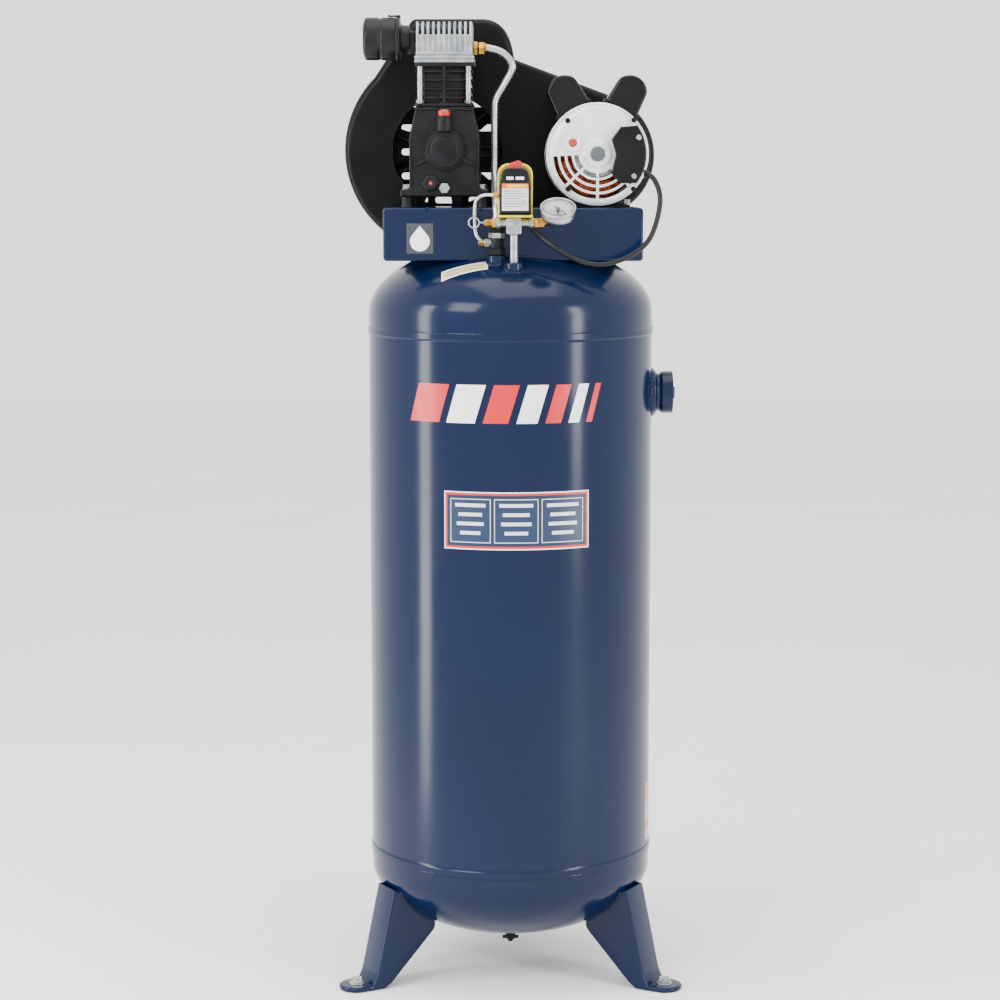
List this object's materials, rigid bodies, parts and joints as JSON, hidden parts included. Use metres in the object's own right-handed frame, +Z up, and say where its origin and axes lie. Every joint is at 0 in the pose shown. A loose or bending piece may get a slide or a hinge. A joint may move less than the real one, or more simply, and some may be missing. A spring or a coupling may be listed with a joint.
{
  "type": "air compressor",
  "caption": "Upright stationary air compressor: three-legged receiver with a belt-driven twin-cylinder pump, motor, guard, pressure switch and gauge on a bed plate.",
  "frame": {"origin": "middle of the base on the floor, under the centre of the whole machine; the tank's axis stands 47 mm in front of it", "axes": "+Z up, -Y towards the front with the pressure switch and gauge, +X towards the motor and side port"},
  "size_m": [0.6148, 0.606, 1.728],
  "materials": {
    "navy_enamel": "gloss",
    "black_iron": "satin",
    "black_enamel": "gloss",
    "white_enamel": "gloss",
    "cast_aluminium": "satin",
    "tube_aluminium": "satin",
    "zinc_plate": "satin",
    "bearing_steel": "satin",
    "gauge_metal": "polished",
    "winding_copper": "satin",
    "brass_fitting": "satin",
    "black_plastic": "matte",
    "guard_plastic": "satin",
    "red_plastic": "gloss",
    "yellow_plastic": "gloss",
    "filter_paper": "matte",
    "belt_rubber": "matte",
    "cable_rubber": "matte"
  },
  "bodies": {
    "frame": {"tank_shell": "navy_enamel", "tank_top_head": "navy_enamel", "tank_bottom_head": "navy_enamel", "leg_front_left": "navy_enamel", "leg_front_right": "navy_enamel", "leg_rear": "navy_enamel", "platform": "navy_enamel", "port_coupling": "navy_enamel", "port_plug": "navy_enamel", "drain_valve_body": "black_plastic", "crankcase": "black_iron", "front_bearing_cap": "black_iron", "front_bearing": "bearing_steel", "rear_bearing": "bearing_steel", "oil_sight_glass": "black_plastic", "oil_drain_plug": "zinc_plate", "cylinder_block": "black_iron", "valve_plate": "cast_aluminium", "cylinder_head": "cast_aluminium", "drive_belt": "belt_rubber", "motor_stator": "winding_copper", "motor_shell": "black_enamel", "motor_front_bell": "white_enamel", "motor_rear_bell": "white_enamel", "motor_base": "black_enamel", "start_capacitor_cover": "black_enamel", "run_capacitor_cover": "black_enamel", "terminal_cover": "black_plastic", "belt_guard_rear": "guard_plastic", "belt_guard_front": "guard_plastic", "air_filter_base": "black_plastic", "discharge_tube": "tube_aluminium", "check_valve": "brass_fitting", "unloader_tube": "tube_aluminium", "switch_manifold": "zinc_plate", "relief_valve": "brass_fitting", "switch_base": "yellow_plastic", "switch_cover": "black_plastic", "pressure_gauge": "gauge_metal", "motor_cable": "cable_rubber"},
    "crank": {"crankshaft": "bearing_steel", "flywheel": "black_iron", "rod_bearing_1": "cast_aluminium", "rod_bearing_2": "cast_aluminium"},
    "pin_1": {"flywheel_pin_1": "bearing_steel"},
    "pin_2": {"flywheel_pin_2": "bearing_steel"},
    "piston_1": {"piston_1": "cast_aluminium", "connecting_rod_1": "cast_aluminium"},
    "piston_2": {"piston_2": "cast_aluminium", "connecting_rod_2": "cast_aluminium"},
    "rotor": {"motor_rotor": "bearing_steel", "motor_pulley": "black_iron"},
    "oil_plug": {"oil_fill_plug": "red_plastic"},
    "filter_cover": {"air_filter_cover": "black_plastic"},
    "filter_element": {"air_filter_element": "filter_paper"},
    "reset": {"reset_button": "red_plastic"},
    "drain_handle": {"drain_valve_handle": "black_plastic"},
    "pull_ring": {"relief_ring": "zinc_plate"},
    "lever": {"switch_lever": "red_plastic"},
    "needle": {"gauge_needle": "black_plastic"}
  },
  "joints": [
    {"name": "crank_spin", "type": "hinge", "parent": "frame", "child": "crank", "pos_m": [-0.115, -0.047, 1.491], "axis": [0, 1, 0], "continuous": true},
    {"name": "rotor_spin", "type": "hinge", "parent": "frame", "child": "rotor", "pos_m": [0.1505, -0.047, 1.483], "axis": [0, 1, 0], "continuous": true},
    {"name": "pin_1_turn", "type": "hinge", "parent": "crank", "child": "pin_1", "pos_m": [-0.115, -0.047, 1.5037], "axis": [0, 1, 0], "continuous": true},
    {"name": "piston_1_follow", "type": "hinge", "parent": "pin_1", "child": "piston_1", "pos_m": [-0.115, -0.047, 1.5164], "axis": [0, 1, 0], "continuous": true},
    {"name": "pin_2_turn", "type": "hinge", "parent": "crank", "child": "pin_2", "pos_m": [-0.115, -0.047, 1.4783], "axis": [0, 1, 0], "continuous": true},
    {"name": "piston_2_follow", "type": "hinge", "parent": "pin_2", "child": "piston_2", "pos_m": [-0.115, -0.047, 1.4656], "axis": [0, 1, 0], "continuous": true},
    {"name": "oil_plug_lift", "type": "slide", "parent": "frame", "child": "oil_plug", "axis": [0, 0, 1], "range_m": [0, 0.006]},
    {"name": "filter_cover_slide", "type": "slide", "parent": "frame", "child": "filter_cover", "axis": [-1, 0, 0], "range_m": [0, 0.07]},
    {"name": "filter_element_slide", "type": "slide", "parent": "frame", "child": "filter_element", "axis": [-1, 0, 0], "range_m": [0, 0.004]},
    {"name": "reset_push", "type": "slide", "parent": "frame", "child": "reset", "axis": [0, 1, 0], "range_m": [0, 0.003], "stiffness_N_per_m": 300},
    {"name": "drain_turn", "type": "hinge", "parent": "frame", "child": "drain_handle", "pos_m": [0, -0.047, 0.048], "axis": [0, 0, 1], "range_deg": [0, 360]},
    {"name": "relief_pull", "type": "slide", "parent": "frame", "child": "pull_ring", "axis": [-1, 0, 0], "range_m": [0, 0.003], "stiffness_N_per_m": 600},
    {"name": "lever_throw", "type": "hinge", "parent": "frame", "child": "lever", "pos_m": [0.011, -0.242, 1.45], "axis": [0, 1, 0], "range_deg": [-30, 0]},
    {"name": "needle_sweep", "type": "hinge", "parent": "frame", "child": "needle", "pos_m": [0.081, -0.257, 1.383], "axis": [0, -0.5299, 0.848], "range_deg": [-270, 0], "stiffness_Nm_per_rad": 0.0005}
  ],
  "couplings": [
    {"joint": "rotor_spin", "follows": "crank_spin", "ratio": 3.7143},
    {"joint": "pin_1_turn", "follows": "crank_spin", "ratio": -2},
    {"joint": "piston_1_follow", "follows": "crank_spin", "ratio": 1},
    {"joint": "pin_2_turn", "follows": "crank_spin", "ratio": -2},
    {"joint": "piston_2_follow", "follows": "crank_spin", "ratio": 1}
  ]
}
